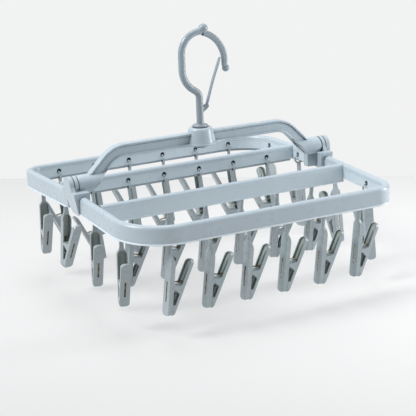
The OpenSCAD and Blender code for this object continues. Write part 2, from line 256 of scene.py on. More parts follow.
def bevel(mesh, width, segments, angle, slot=-1):
    """Weld and round the sharp edges; slot is the material slot of the new faces."""
    while len(mesh.materials) <= slot:
        mesh.materials.append(clip_plastic)
    return evaluate(mesh, ("WELD", dict(merge_threshold=0.004)), ("BEVEL", dict(
        width=width, segments=segments, limit_method="ANGLE", angle_limit=radians(angle),
        use_clamp_overlap=True, miter_outer="MITER_ARC", material=slot)))


def join(*meshes):
    shape = bmesh.new()
    for mesh in meshes:
        shape.from_mesh(mesh)
    return to_mesh(shape)


def finish(mesh, name, place, angle, materials=()):
    """Move a mesh to its frame, smooth it up to an edge angle in degrees and name it."""
    mesh.transform(place)
    shape = bmesh.new()
    shape.from_mesh(mesh)
    bmesh.ops.dissolve_degenerate(shape, dist=1e-4, edges=shape.edges)
    for face in shape.faces:
        face.smooth = True
    for edge in shape.edges:
        if len(edge.link_faces) == 2 and edge.calc_face_angle(0) > radians(angle):
            edge.smooth = False
    shape.to_mesh(mesh)
    shape.free()
    mesh.name = name
    for material in materials:
        mesh.materials.append(material)
    return mesh


def piece(name, mesh, body, node, matrix=Matrix(), weighted=True):
    made = add_object(name, mesh)
    made.matrix_world = matrix
    if weighted:
        normals = made.modifiers.new("normals", "WEIGHTED_NORMAL")
        normals.keep_sharp = True
        normals.weight = 60
    if body:
        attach(made, body)
    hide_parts(node)
    return made


# ---------------------------------------------------------------- shader helpers
def add_node(tree, kind, inputs, **settings):
    """New node; an input value is a socket to link, a colour or a plain value."""
    made = tree.nodes.new(kind)
    for key, value in settings.items():
        setattr(made, key, value)
    for key, value in inputs.items():
        socket = made.inputs[key]
        if isinstance(value, bpy.types.NodeSocket):
            tree.links.new(value, socket)
        elif socket.type == "RGBA":
            socket.default_value = (*value, 1.0)
        else:
            socket.default_value = value
    return made


def new_material(name):
    """Material with a lone principled shader; also its tree and object coordinates."""
    material = bpy.data.materials.new(name)
    material.use_nodes = True
    tree = material.node_tree
    tree.nodes.clear()
    out = tree.nodes.new("ShaderNodeOutputMaterial")
    shader = tree.nodes.new("ShaderNodeBsdfPrincipled")
    tree.links.new(shader.outputs[0], out.inputs[0])
    coords = tree.nodes.new("ShaderNodeTexCoord").outputs["Object"]
    return material, tree, shader, coords


def noise(tree, coords, scale, detail=3):
    return add_node(tree, "ShaderNodeTexNoise", {
        "Scale": scale, "Detail": detail, "Roughness": 0.55, "Vector": coords}).outputs["Fac"]


def remap(tree, value, out=(0, 1), over=(0.35, 0.65)):
    """Carry the range `over` to the range `out`, clamped."""
    return add_node(tree, "ShaderNodeMapRange", {
        "From Min": over[0], "From Max": over[1], "To Min": out[0], "To Max": out[1],
        "Value": value}).outputs[0]


def mix(tree, factor, first, second, mode="MIX"):
    return add_node(tree, "ShaderNodeMix", {0: factor, 6: first, 7: second},
                    data_type="RGBA", blend_type=mode).outputs[2]


def math(tree, operation, *values):
    return add_node(tree, "ShaderNodeMath", dict(enumerate(values)),
                    operation=operation).outputs[0]


def dot(tree, vector, direction):
    return add_node(tree, "ShaderNodeVectorMath", {0: vector, 1: direction},
                    operation="DOT_PRODUCT").outputs["Value"]


def split(tree, coords):
    return add_node(tree, "ShaderNodeSeparateXYZ", {0: coords}).outputs


def occlusion(tree, distance):
    return add_node(tree, "ShaderNodeAmbientOcclusion", {"Distance": distance},
                    samples=6).outputs["AO"]


def bump(tree, height, strength, distance, **more):
    return add_node(tree, "ShaderNodeBump", {
        "Strength": strength, "Distance": distance, "Height": height, **more}).outputs[0]


def scaled(colour, factor):
    return tuple(c * factor for c in colour)


# ---------------------------------------------------------------- materials
GAP_XS = (-174.9, -169.3, 169.3, 174.9)       # hinge gaps along X, mm
GAP_HALF = 0.00075                            # metres
GAP_R, GAP_FADE = (BARREL_R + 0.4) * MM, 0.0006


def hinge_gaps(tree, coords):
    """1 on thin rings round the hinge line at the gaps between its parts; the mask for painted shade.
    """
    place = split(tree, coords)
    total = None
    for x in GAP_XS:
        away = math(tree, "ABSOLUTE", math(tree, "SUBTRACT", place["X"], (x - SCENE_X) * MM))
        ring = remap(tree, away, out=(1, 0), over=(GAP_HALF * 0.55, GAP_HALF))
        total = ring if total is None else math(tree, "MAXIMUM", total, ring)
    z = math(tree, "SUBTRACT", place["Z"], -SCENE_Z * MM)
    radius = math(tree, "SQRT", math(tree, "ADD", math(tree, "MULTIPLY", z, z),
                                     math(tree, "MULTIPLY", place["Y"], place["Y"])))
    near_axis = remap(tree, radius, out=(1, 0), over=(GAP_R, GAP_R + GAP_FADE))
    return math(tree, "MULTIPLY", total, near_axis)


def moulded(name, base, crevice_shade, rough, reach=0.006, vary=0.02, coat=0.12, gaps=False, fall_shade=None):
    """Satin moulded plastic: flow mottling, fine grain and painted shade in crevices.

    reach: distance in metres over which crevices get painted shade; vary: tint spread between
    objects;
    gaps: paint shade into the hinge gaps; fall_shade: painted shade low down, as (low z, high z,
    brightness at the low end).
    """
    material, tree, shader, coords = new_material(name)
    mottle = remap(tree, noise(tree, coords, scale=38, detail=4))
    colour = mix(tree, mottle, scaled(base, 0.985), scaled(base, 1.015))
    # Painted shade: darker towards the low z end
    if fall_shade:
        low = remap(tree, split(tree, coords)["Z"], out=(1, 0), over=fall_shade[:2])
        colour = mix(tree, low, colour, scaled(base, fall_shade[2]))
    chance = tree.nodes.new("ShaderNodeObjectInfo").outputs["Random"]
    chance = remap(tree, chance, over=(0, 1))
    tint = (1 - vary, 1 - vary * 0.4, 1 - vary * 0.7)
    colour = mix(tree, chance, colour, mix(tree, 1.0, colour, tint, "MULTIPLY"))
    # Painted shade: darker where ambient occlusion finds crevices
    shade = remap(tree, occlusion(tree, distance=reach), out=(1, 0), over=(0.12, 0.72))
    colour = mix(tree, shade, colour, crevice_shade)
    # Painted shade in the hinge gaps
    if gaps:
        colour = mix(tree, hinge_gaps(tree, coords), colour, scaled(crevice_shade, 0.55))
    tree.links.new(colour, shader.inputs["Base Color"])
    sheen = remap(tree, noise(tree, coords, scale=70), out=(rough - 0.06, rough + 0.07))
    tree.links.new(sheen, shader.inputs["Roughness"])
    shader.inputs["Coat Weight"].default_value = coat
    shader.inputs["Coat Roughness"].default_value = 0.3
    grain = bump(tree, noise(tree, coords, scale=1500, detail=2),
                 strength=0.05, distance=0.00006)
    flow = bump(tree, noise(tree, coords, scale=60, detail=2),
                strength=0.10, distance=0.0003, Normal=grain)
    tree.links.new(flow, shader.inputs["Normal"])
    return material


def wire(name):
    """Steel and brass-toned spring wire with rust on some springs."""
    material, tree, shader, coords = new_material(name)
    chance = tree.nodes.new("ShaderNodeObjectInfo").outputs["Random"]
    steel, brass, rust = (0.82, 0.80, 0.74), (0.52, 0.42, 0.22), (0.26, 0.12, 0.06)
    crevice_shade, slot_brown, slot_brass = (0.105, 0.080, 0.022), (0.075, 0.045, 0.022), (0.33, 0.25, 0.09)
    colour = mix(tree, remap(tree, noise(tree, coords, scale=260), over=(0.48, 0.66)),
                 steel, brass)
    worn = remap(tree, noise(tree, coords, scale=520, detail=4), over=(0.52, 0.66))
    amount = remap(tree, chance, out=(0, 0.8), over=(0.45, 0.95))
    colour = mix(tree, math(tree, "MULTIPLY", worn, amount), colour, rust)
    # Painted shade: darker where ambient occlusion finds crevices
    shade = remap(tree, occlusion(tree, distance=0.0022), out=(1, 0), over=(0.25, 0.62))
    colour = mix(tree, shade, colour, crevice_shade)
    # Browner where the wire lies in the arm's narrow slot
    place = split(tree, coords)
    in_slot = math(tree, "MULTIPLY",
                   remap(tree, place["X"], out=(1, 0), over=(-0.0008, -0.0004)),
                   remap(tree, place["Z"], out=(0.92, 0), over=(-0.0555, -0.0535)))
    patch = remap(tree, noise(tree, coords, scale=190, detail=2), over=(0.42, 0.58))
    colour = mix(tree, in_slot, colour, mix(tree, patch, slot_brown, slot_brass))
    tree.links.new(colour, shader.inputs["Base Color"])
    shader.inputs["Metallic"].default_value = 0.85
    sheen = remap(tree, noise(tree, coords, scale=300), out=(0.26, 0.5))
    tree.links.new(sheen, shader.inputs["Roughness"])
    scratch = bump(tree, noise(tree, coords, scale=2500, detail=2),
                   strength=0.3, distance=0.00005)
    tree.links.new(scratch, shader.inputs["Normal"])
    return material


frame_plastic = moulded("frame_plastic", base=(0.445, 0.520, 0.582), crevice_shade=(0.115, 0.15, 0.18),
                        rough=0.30, coat=0.3, gaps=True)
# Painted light: a lighter copy of the frame plastic for the clip walls and bar faces
wall_lit_plastic = moulded("frame_clip_wall_lit", base=(0.600, 0.690, 0.758), crevice_shade=(0.115, 0.15, 0.18),
                       rough=0.33, coat=0.22)
# Painted highlight: a lighter plastic on the skirt's lip
lip_highlight = moulded("frame_lip_highlight", base=(0.72, 0.79, 0.85), crevice_shade=(0.28, 0.34, 0.38),
                      rough=0.28, coat=0.4)
handle_plastic = moulded("handle_plastic", base=(0.455, 0.538, 0.600),
                         crevice_shade=(0.085, 0.115, 0.14), rough=0.3, coat=0.3, gaps=True)
# The hook gets painted shade, darker towards its stem
hook_plastic = moulded("hook_plastic", base=(0.315, 0.380, 0.430), crevice_shade=(0.075, 0.10, 0.12),
                       rough=0.27, coat=0.35, fall_shade=(-0.085, -0.045, 0.84))
clip_plastic = moulded("clip_plastic", base=(0.345, 0.398, 0.428), crevice_shade=(0.060, 0.075, 0.077),
                       rough=0.30, vary=0.09, coat=0.35)
# Painted highlight: light plastic for the clips' bevelled edges
clip_edge_highlight = moulded("clip_edge_highlight", base=(0.62, 0.69, 0.73), crevice_shade=(0.16, 0.19, 0.20),
                    rough=0.26, reach=0.002, vary=0.09, coat=0.4)
# Painted shade: near-black plastic for the walls of the clips' spring slots
clip_slot_shade = moulded("clip_slot_shade", base=(0.050, 0.052, 0.040), crevice_shade=(0.012, 0.014, 0.012),
                    rough=0.5, reach=0.002)
# Painted shade and reflection: darker, greener plastic for the clips' channel floors and pockets
clip_channel_shade = moulded("clip_channel_shade", base=(0.300, 0.348, 0.318), crevice_shade=(0.075, 0.090, 0.078),
                      rough=0.5, reach=0.004)
gate_plastic = moulded("gate_plastic", base=(0.355, 0.425, 0.480), crevice_shade=(0.10, 0.13, 0.155),
                       rough=0.3, coat=0.3)
# Painted shade: near-black plastic for the rail's hollow
frame_hollow_shade = moulded("frame_hollow_shade", base=(0.10, 0.122, 0.138), crevice_shade=(0.02, 0.026, 0.03),
                       rough=0.5)
spring_wire = wire("spring_wire")

# ---------------------------------------------------------------- half frames
# Rail section (outward from the inner face, height): inner wall, round crown, skirt with a
# lip, then back up through the hollow
RAIL_SECTION = [
    (0.12, -WALL_Z + 0.25), (0.0, -WALL_Z + 0.6), (0.0, -16.3), (-0.12, -16.0), (-0.36, -15.7),
    (-0.4, -15.2), (-0.36, -14.75), (-0.2, -14.5)]
RAIL_SECTION += arc((4.75, -14.25), 4.75, 178, 2, 20)
RAIL_SECTION += [
    (9.5, -15.0), (9.5, -20), (9.5, -26), (9.5, -29.7), (9.62, -30.05), (10.05, -30.3),
    (10.35, -30.7), (10.4, -31.2), (10.3, -31.75), (9.9, -32.1), (8.6, -32.15), (8.1, -31.95),
    (7.9, -31.4), (7.9, -27.2), (7.9, -16.6), (7.5, -15.7), (6.6, -15.25), (3.1, -15.25),
    (2.2, -15.7), (1.8, -16.6), (1.8, -WALL_Z + 0.3), (1.5, -WALL_Z), (0.45, -WALL_Z)]
RAIL_FOOT, RAIL_TALL = -32.05, 22.55
# Rounded start of each arm: distance from the hinge, and how far the crown drops there
START_Y = (21.6, 21.9, 22.4, 23.1, 24.0, 25.2, 27.0)
START_DROP = (4.2, 2.6, 1.5, 0.8, 0.35, 0.1, 0.0)
# Clip hole (radius, depth), with a flared mouth
HOLE = [(0, -3), (HOLE_R + 0.5, -3), (HOLE_R + 0.5, -0.1), (HOLE_R + 0.12, 0.28),
        (HOLE_R, 0.6), (HOLE_R, 3.0), (0, 3.0)]
# Hinge plates below their discs (y, z); both end in the same shoulder
SHOULDER = [(15.4, -5.5), (14.2, -5.1)]
OUTER_PLATE = arc((0, 0), BARREL_R, 0, 180, 30) + [
    (-11.2, -8), (-5.4, -22), (-0.4, -28.5), (3.2, -32.6), (5.5, -33), (21.0, -33), (22, -32),
    (22, -7), (21.2, -5.6), (20, -5.5)] + SHOULDER
INNER_KNUCKLE = arc((0, 0), BARREL_R, 0, 204, 34) + [
    (-9.2, -5.9), (-2.4, -10.4), (6, -20), (14, -30), (21, -30), (21, -7), (20.2, -5.6)] + SHOULDER
# Blocks joining the arms to the hinge plates (x, z)
RIGHT_BLOCK = fillet([(160.5, -30.5), (160.5, PIN_Z), (175.7, PIN_Z), (175.7, -30.5)],
                     [0.2, 1.1, 0.2, 0.2])
LEFT_BLOCK = fillet([(-178.5, PIN_Z), (-160.5, PIN_Z), (-160.5, -30.5), (-175.2, -30.5)],
                    [1.1, 1.1, 0.2, 0.4])


def curve_in(reach, edge):
    """How far the inner wall has curved inward at a hole near the wide corner."""
    over = reach - edge + WIDE_IN
    return WIDE_IN - sqrt(WIDE_IN * WIDE_IN - over ** 2) if reach > edge - WIDE_IN else 0.0


def corner_stations(centre_x, radius, start, steps):
    """Quarter turn of the rail about a corner centre, from a start angle in degrees."""
    centre, out = Vector((centre_x, RAIL_IN - radius, 0)), []
    for i in range(steps + 1):
        angle = radians(start + 90 * i / steps)
        outward = Vector((cos(angle), sin(angle), 0))
        out.append((centre + outward * radius, outward, Z))
    return out


def row_x(k):
    return (k - 2.5) * PITCH


def rail_mesh():
    """Right arm, wide corner, outer rail, tight corner and left arm in one sweep."""
    stations = [((ARM_IN, y, 0), X, Z) for y in START_Y + (34, 60, 85, 106)]
    stations += corner_stations(ARM_IN - WIDE_IN, WIDE_IN, 0, 32)
    stations += [((x, RAIL_IN, 0), Y, Z) for x in (100, 60, 20, -20, -60, -100, -138)]
    stations += corner_stations(-ARM_IN + TIGHT_IN, TIGHT_IN, 90, 24)
    stations += [((-ARM_IN, y, 0), (-1, 0, 0), Z) for y in (138, 110, 85, 60, 34) + START_Y[::-1]]

    def section(i):
        i = min(i, len(stations) - 1 - i)
        drop = START_DROP[i] if i < len(START_DROP) else 0.0
        if not drop:
            return RAIL_SECTION
        narrow = 1 - 0.12 * drop / START_DROP[0]
        return [(4.75 + (x - 4.75) * narrow,
                 RAIL_FOOT + (z - RAIL_FOOT) * (RAIL_TALL - drop) / RAIL_TALL)
                for x, z in RAIL_SECTION]

    holes = bmesh.new()
    for k in range(6):
        x = row_x(k)
        lean = max(0.0, (x - ARM_IN + WIDE_IN) / WIDE_IN)
        out = Vector((lean, sqrt(1 - lean * lean), 0))
        place = (x, RAIL_IN - curve_in(x, ARM_IN), -HOLE_Z)
        lathe(holes, HOLE, (place, (out.y, -out.x, 0), Z, out), 28)
    for side in (-1, 1):
        for y in SIDE_Y:
            x = side * (ARM_IN - (curve_in(y, RAIL_IN) if side > 0 else 0))
            lathe(holes, HOLE, ((x, y, -HOLE_Z), Y, Z, (side, 0, 0)), 28)
    return cut(solid(sweep, section, stations), to_mesh(holes))


def bar_mesh():
    xs = (-165.7, -150, -100, -50, 0, 50, 100, 150, 165.7)
    holes = bmesh.new()
    for k in range(6):
        lathe(holes, HOLE, ((row_x(k), BAR_IN, -HOLE_Z), X, Z, Y), 28)
    return cut(solid(sweep, RAIL_SECTION, [((x, BAR_IN, 0), Y, Z) for x in xs]), to_mesh(holes))


def hinge_meshes():
    """Outer plate at +X, inner knuckle at -X, and the blocks that carry them."""
    tool = bmesh.new()
    # The plate's outer face leans inward below the barrel
    prism(tool, [(181, -6), (190, -6), (190, -40), (174.7, -40)], ALONG_Y, -40, 60)
    lathe(tool, [(0, 174), (3.05, 174), (3.05, 178.8), (0, 178.8)], ALONG_X, 40)
    plate = bevel(cut(solid(prism, OUTER_PLATE, ALONG_X, 175.2, 181), to_mesh(tool)), 0.55, 3, 32)
    bore = solid(lathe, [(0, -176), (3.06, -176), (3.06, -168), (0, -168)], ALONG_X, 40)
    knuckle = cut(solid(prism, INNER_KNUCKLE, ALONG_X, -174.6, -169.6), bore)
    blocks = bmesh.new()
    prism(blocks, RIGHT_BLOCK, ALONG_Y, 12, 22)
    prism(blocks, LEFT_BLOCK, ALONG_Y, 13, 22)
    return plate, bevel(knuckle, 0.5, 3, 32), bevel(to_mesh(blocks), 0.7, 3, 40)


def rail_depth(x, y):
    """Distance outward from the inner face of the nearest rail, or None off the rails."""
    side, corner = abs(x), (WIDE_IN if x > 0 else TIGHT_IN)
    if y < RAIL_IN - corner and side > ARM_IN - 0.7:
        return side - ARM_IN
    if BAR_IN - 0.7 < y < BAR_IN + RAIL_W + 1.2 and side < ARM_IN:
        return y - BAR_IN
    if y > RAIL_IN - 0.7 and -ARM_IN + TIGHT_IN < x < ARM_IN - WIDE_IN:
        return y - RAIL_IN
    if y > RAIL_IN - WIDE:
        centre_x = ARM_IN - WIDE_IN if x > 0 else -ARM_IN + TIGHT_IN
        return sqrt((x - centre_x) ** 2 + (y - RAIL_IN + corner) ** 2) - corner
    return None


def paint_rails(mesh):
    """Material slots: 1 in the hollow, painted shade; 2 on the clip walls, painted light; 3 on the
    lip, a painted highlight.
    """
    for face in mesh.polygons:
        x, y, z = face.center
        depth = rail_depth(x, y)
        if depth is None or y < 22.6:
            continue
        # Hollow: near-black as painted shade
        if 1.75 < depth < 7.95 and -27.0 < z < -15.1:
            face.material_index = 1
        # Clip walls and the bar's outer faces: lighter plastic as painted light
        elif -0.6 < depth < 0.25 and z < -15.2:
            face.material_index = 2
        elif y < BAR_IN + 12 and abs(x) < ARM_IN and depth > 9.3:
            face.material_index = 2
        # Lip: lighter plastic as a painted highlight
        elif depth > 9.52 and z < -30.1:
            face.material_index = 3


def set_materials(mesh, materials):
    mesh.materials.clear()
    for material in materials:
        mesh.materials.append(material)


rails = evaluate(join(rail_mesh(), bar_mesh()), ("WELD", dict(merge_threshold=0.002)))
plate, knuckle, blocks = hinge_meshes()
half = join(rails, plate, knuckle, blocks)
set_materials(half, (frame_plastic, frame_hollow_shade, wall_lit_plastic, lip_highlight))
paint_rails(half)
# The front half is the rear one turned about Z
DROOP = Matrix.Rotation(-SAG, 4, "X")
for end, turned in (("rear", PLACE @ DROOP), ("front", PLACE @ Matrix.Rotation(pi, 4, "Z") @ DROOP)):
    name = end + "_frame_v"
    piece(name, finish(half.copy(), name, turned, 34), end + "_half", end + "_frame")

# ---------------------------------------------------------------- handle
# Top line height, section height, shoulder arc centre x and radius
HANDLE_TOP, HANDLE_TALL, SHOULDER_X, SHOULDER_R = 41.3, 15.3, 104.0, 42.0
SHOULDER_Z = HANDLE_TOP - SHOULDER_R
HANDLE_BASE = HANDLE_TOP - HANDLE_TALL
FLANGE_Y, PLATE_Y = 4.85, 10.9                # half widths of the lower flange and end plates
LEG = 26                                      # straight leg below each shoulder
FLANGE_T = 2.5
BULGE_R = 19.0                                # lower flange round the boss
# Half of the I section (depth below the top line, y) and its corner radii
I_HALF = [(0, -5), (2.35, -5), (2.75, -4.2), (2.95, -2.75), (3.7, -2.75), (4.1, -3.2),
          (11.9, -3.2), (12.6, -3.3), (12.9, -FLANGE_Y), (HANDLE_TALL, -FLANGE_Y)]
I_RADII = [1.1, 0.5, 0.2, 0.3, 0.3, 0.3, 0.8, 0.3, 0.3, 0.9]
# Tapered boss wall (radius, height), a closed loop
BOSS_Z = HANDLE_BASE + 2.0
BOSS = [(4.06, BOSS_Z - 2), (17.2, BOSS_Z - 2), (17.9, BOSS_Z - 0.2), (17.6, BOSS_Z + 0.9),
        (17.2, BOSS_Z + 3), (14.9, 43.4), (14.6, 44.9), (14.0, 46.1), (12.9, 46.9), (11.6, 47.25),
        (10.6, 47.3), (10.1, 47.05), (9.9, 46.4), (4.6, 46.4), (4.06, 45.9)]
# Hinge barrel with its pin bore (radius, distance from the middle)
BARREL = [(0, 145.9), (3.05, 145.9), (3.05, 168.6), (3.4, 169), (9.3, 169), (9.9, 168.85),
          (10.4, 168.4), (10.65, 167.7), (BARREL_R, 167), (BARREL_R, 129), (10.2, 128), (0, 128)]


def arch():
    """Stations along the handle's top line from the left leg to the right: point, inward, Y."""
    right = [((x, HANDLE_TOP), (0.0, -1.0)) for x in (0, 20, 40, 60, 80, 95)]
    for i in range(23):
        a = radians(90 - 45 * i / 22)
        right.append(((SHOULDER_X + SHOULDER_R * cos(a), SHOULDER_Z + SHOULDER_R * sin(a)),
                      (-cos(a), -sin(a))))
    corner, inward = right[-1]
    for e in (LEG * 0.33, LEG * 0.66, LEG):
        right.append(((corner[0] + e * cos(pi / 4), corner[1] - e * sin(pi / 4)), inward))
    left = [((-p[0], p[1]), (-d[0], d[1])) for p, d in reversed(right[1:])]
    return [((p[0], 0, p[1]), (d[0], 0, d[1]), Y) for p, d in left + right]


def leg_frame(side):
    """Lower line of a leg: down the leg, across, and into the leg."""
    q = cos(pi / 4)
    inner = SHOULDER_R - HANDLE_TALL
    start = (side * (SHOULDER_X + inner * q), 0, SHOULDER_Z + inner * q)
    return start, (side * q, 0, -q), Y, (side * q, 0, q)


def end_plate_outline():
    """Narrow strip flaring smoothly into a rounded plate over the barrel."""
    side = [(6.5 + 5.5 * i / 4, FLANGE_Y) for i in range(5)]
    side += [(12 + 13.7 * t, FLANGE_Y + 6.05 * t * t * (3 - 2 * t))
             for t in [i / 12 for i in range(1, 13)]]
    angles = [radians(90 * i / 14) for i in range(1, 14)]
    side += [(25.7 + 15.6 * sin(a), PLATE_Y * cos(a)) for a in angles]
    return mirrored(side, middle=[(41.3, 0)])


def bulge_outline():
    """Lower flange: round about the boss, easing to the flange width at its ends."""
    side = []
    for i in range(-36, 37, 2):
        x = abs(i)
        ease = ((36 - x) / 20.0) ** 2
        y = (sqrt(BULGE_R ** 2 - x * x) if x <= 16
             else FLANGE_Y + (sqrt(BULGE_R ** 2 - 256) - FLANGE_Y) * ease)
        side.append((float(i), y))
    return mirrored(side)


def boss_mesh():
    """Boss, a little longer along X towards its foot."""
    shape, rings, sides = bmesh.new(), [], 64
    for r, z in BOSS:
        foot = max(0.0, min(1.0, (46 - z) / 19)) if r > 9 else 0.0
        ring = []
        for i in range(sides):
            t = 2 * pi * i / sides
            stretch = 1 + 0.10 * foot * abs(cos(t)) ** 6
            ring.append(shape.verts.new((r * stretch * cos(t), r * sin(t), z)))
        rings.append(ring)
    bmesh.ops.recalc_face_normals(shape, faces=skin(shape, rings + rings[:1]))
    return to_mesh(shape)


def handle_mesh():
    slot_outline = arc((14.5, 0), 2.9, 90, 270, 12) + arc((36.5, 0), 2.9, -90, 90, 12)
    slots = bmesh.new()
    for side in (-1, 1):
        prism(slots, slot_outline, leg_frame(side), -6, 1.9)
    slots = to_mesh(slots)
    bore = solid(lathe, [(0, 15), (4.3, 15), (4.3, 49), (0, 49)], ALONG_Z)
    section = fillet(mirrored(I_HALF), I_RADII + I_RADII[::-1])
    parts = [cut(cut(solid(sweep, section, arch()), slots), bore)]
    for side in (-1, 1):
        plate = solid(prism, end_plate_outline(), leg_frame(side), 0, FLANGE_T)
        parts.append(bevel(cut(plate, slots), 0.5, 3, 40))
    bulge = solid(prism, bulge_outline(), ALONG_Z, HANDLE_BASE, HANDLE_BASE + FLANGE_T)
    parts.append(cut(bevel(bulge, 0.8, 3, 40), bore))
    parts.append(boss_mesh())
    for side in (-1, 1):
        barrel = solid(lathe, BARREL, (ORIGIN, (0, side, 0), Z, (side, 0, 0)), 64)
        start, down, across, into = leg_frame(side)
        # Keep only the part of the barrel inside the leg
        below = solid(prism, [(-40, -60), (80, -60), (80, 1), (-40, 1)],
                      (start, down, into, across), -20, 20)
        parts.append(cut(cut(barrel, below), slots))
    return join(*parts)


piece("handle_v", finish(handle_mesh(), "handle_v", PLACE, 40, [handle_plastic]),
      "handle", "handle")

# ---------------------------------------------------------------- hook and gate
GATE_PIN = (9.4, 72.4)                        # x, z
JAW_C, JAW_R = (-3, 0, 125), 39.5             # arm of the hook opposite its back
JAW_SECTION = [(-3.9, -2.3), (-2.6, -3.6), (2.6, -3.6), (3.9, -2.2),
               (3.9, 2.2), (2.6, 3.6), (-2.6, 3.6), (-3.9, 2.3)]
# Lug on the stem that holds the gate (x, z)
GATE_FOOT = [(0.5, 64.4), (5.4, 66.0), (9.5, 68.6), (12.1, 71.6), (11.5, 74.2),
             (9.4, 75.3), (7.2, 74.2), (4.2, 71.9), (0.5, 71.0)]
# Notch under the ball on the crown (x, z)
NOTCH = [(5.2, 160.6), (7.6, 160.2), (7.2, 163.4), (6.4, 164.2), (5.6, 163.6)]
# Stem through the boss and the collar on it (radius, z)
STEM = [(0, 21.6), (3.4, 21.6), (4.0, 22.2), (4.0, 45.8), (4.0, 47.6), (9.2, 47.6), (9.6, 47.9),
        (9.7, 48.4), (9.6, 49.3), (9.2, 49.85), (8.6, 50.0), (5.9, 50.05), (5.0, 50.5),
        (4.5, 51.6), (4.4, 53.2), (0, 53.2)]
# Gate centreline from its pin (x, z)
GATE_LINE = [(0, 0), (0.75, 2.3), (1.8, 5.2), (4.4, 13.2), (7.2, 22.0), (9.9, 30.0),
             (12.9, 38.0), (16.2, 46.4), (19.2, 54.0), (20.6, 58.0)]


def ball(shape, x, z, radius):
    angles = [pi * i / 16 for i in range(17)]
    profile = [(max(radius * sin(a), 0), -radius * cos(a)) for a in angles]
    lathe(shape, profile, ((x, 0, z), X, Y, Z), 28)


def hook_mesh():
    rod = [(0, 52 + 2.1 * i) for i in range(16)]
    rod += arc((-BEND_R, BEND_Z), BEND_R, 0, BEND, 10)
    rod += arc(BACK_C, BACK_R, 180 + BEND, 180, 22)[1:]
    rod += [(BACK_X, z) for z in (124, 128, 132, 136)]
    crown = arc(CROWN_C, CROWN_R, 180, 84, 26)
    shape = bmesh.new()
    tube(shape, [(x, 0, z) for x, z in rod + crown],
         [ROD_R] * len(rod) + [4.35] * len(crown), 28)
    # Flatter jaw arm, thinning to its tip
    jaw = []
    for i in range(35):
        a = radians(75 - 84 * i / 34)
        out = Vector((cos(a), 0, sin(a)))
        thin = 1.0 if i < 22 else 1.0 - 0.012 * (i - 22)
        jaw.append((Vector(JAW_C) + out * JAW_R, out * thin, Vector(Y) * thin))
    sweep(shape, fillet(JAW_SECTION, 1.2, 2), jaw)
    ball(shape, 8.4, 168.3, 5.8)
    ball(shape, 37.8, 116.1, 4.7)
    prism(shape, fillet(GATE_FOOT, 0.9, 2), ALONG_Y, -2.9, 2.9)
    # Fuse the parts into one softly blended body
    body = evaluate(to_mesh(shape),
                    ("REMESH", dict(mode="VOXEL", voxel_size=0.55, use_smooth_shade=True)),
                    ("SMOOTH", dict(factor=0.5, iterations=14)))
    tool = bmesh.new()
    prism(tool, NOTCH, ALONG_Y, -6, 6)
    pocket = arc((0, 0), 1.72, -12, -178, 16) + [
        (-1.7, 0.2), (-1.62, 5.9), (2.95, 5.4), (1.75, -0.1)]
    prism(tool, [(GATE_PIN[0] + x, GATE_PIN[1] + z) for x, z in pocket], ALONG_Y, -8, 8)
    return join(cut(body, to_mesh(tool)), solid(lathe, STEM, ALONG_Z))


def gate_mesh():
    path = spline([(GATE_PIN[0] + x, 0, GATE_PIN[1] + z) for x, z in GATE_LINE])
    last = len(path) - 1
    stations = []
    for i, point in enumerate(path):
        along = (path[min(i + 1, last)] - path[max(i - 1, 0)]).normalized()
        stations.append((point, (along.z, 0, -along.x), Y))
    base = fillet([(-0.85, -2.6), (0.85, -2.6), (0.85, 2.6), (-0.85, 2.6)], 0.55)

    def section(i):
        """Thinner and narrower towards the free end."""
        f = i / last
        thin = 1.0 if f < 0.85 else 0.85
        narrow = 1.0 if f < 0.9 else max(0.62, 1.0 - (f - 0.9) * 3.5)
        return [(p[0] * thin, p[1] * narrow) for p in base]

    pin = solid(lathe, [(0, -2.6), (1.2, -2.6), (1.6, -2.2), (1.6, 2.2), (1.2, 2.6), (0, 2.6)],
                ((GATE_PIN[0], 0, GATE_PIN[1]), X, Z, Y), 24)
    return join(solid(sweep, section, stations), pin)


piece("hook_v", finish(hook_mesh(), "hook_v", PLACE, 45, [hook_plastic]),
      "hook", "hook", weighted=False)
piece("gate_v", finish(gate_mesh(), "gate_v", PLACE, 40, [gate_plastic]),
      "gate", "hook_gate")

# ---------------------------------------------------------------- clips
# A clip's own axes: x towards the jaw opening, y across its width, z up; ring at the origin
CLIP_LONG, CLIP_HALF, CORNER = 90.0, 6.0, 4   # length, half width, foot corner radius
CHANNEL_HALF = 5.0
FULCRUM = (5.6, -57.5)                        # x, z
TIP = (7.0, -89.8)                            # lower end of the lever
LEVER_LONG, LEVER_ANGLE = 67.5, radians(20.4)
LEVER_UP = (sin(LEVER_ANGLE), 0, cos(LEVER_ANGLE))
LEVER_IN = (-cos(LEVER_ANGLE), 0, sin(LEVER_ANGLE))
LEVER = ((TIP[0], 0, TIP[1]), Y, LEVER_UP, LEVER_IN)
# Right edge of the arm (y, z), narrowing to the neck
ARM_EDGE = [(6, -60), (6, -30), (6, -27.2), (5.86, -25.4), (5.4, -23.8), (4.6, -22.4),
            (3.6, -21.2), (2.9, -20.0), (2.55, -18.6), (2.42, -16.5), (2.35, -10), (2.3, -5.2)]
# Material removed from the arm's open side and from the back of its neck (x, z)
ARM_OPEN = [(4.9, -31.5), (10, -31.5), (10, 10), (1.3, 10), (1.3, -18.5), (1.9, -21.5),
            (3.2, -25.0), (4.1, -28.2)]
NECK_BACK = [(-3, -8), (-1.25, -18.5), (-1.25, 2), (-3, 2)]
RING_WEB = [(-2.2, -8.6), (2.2, -8.6), (2.1, -5.4), (1.5, -4.6), (-1.5, -4.6), (-2.1, -5.4)]


def lever_at(up, depth):
    """Clip x, z at a distance up the lever's face and a depth behind it."""
    return (TIP[0] + up * sin(LEVER_ANGLE) - depth * cos(LEVER_ANGLE),
            TIP[1] + up * cos(LEVER_ANGLE) + depth * sin(LEVER_ANGLE))


def slot_outline(top, bottom):
    """Narrow upright slot with round ends."""
    return arc((0, top), 1, 0, 180, 6) + arc((0, bottom), 1, 180, 360, 6)


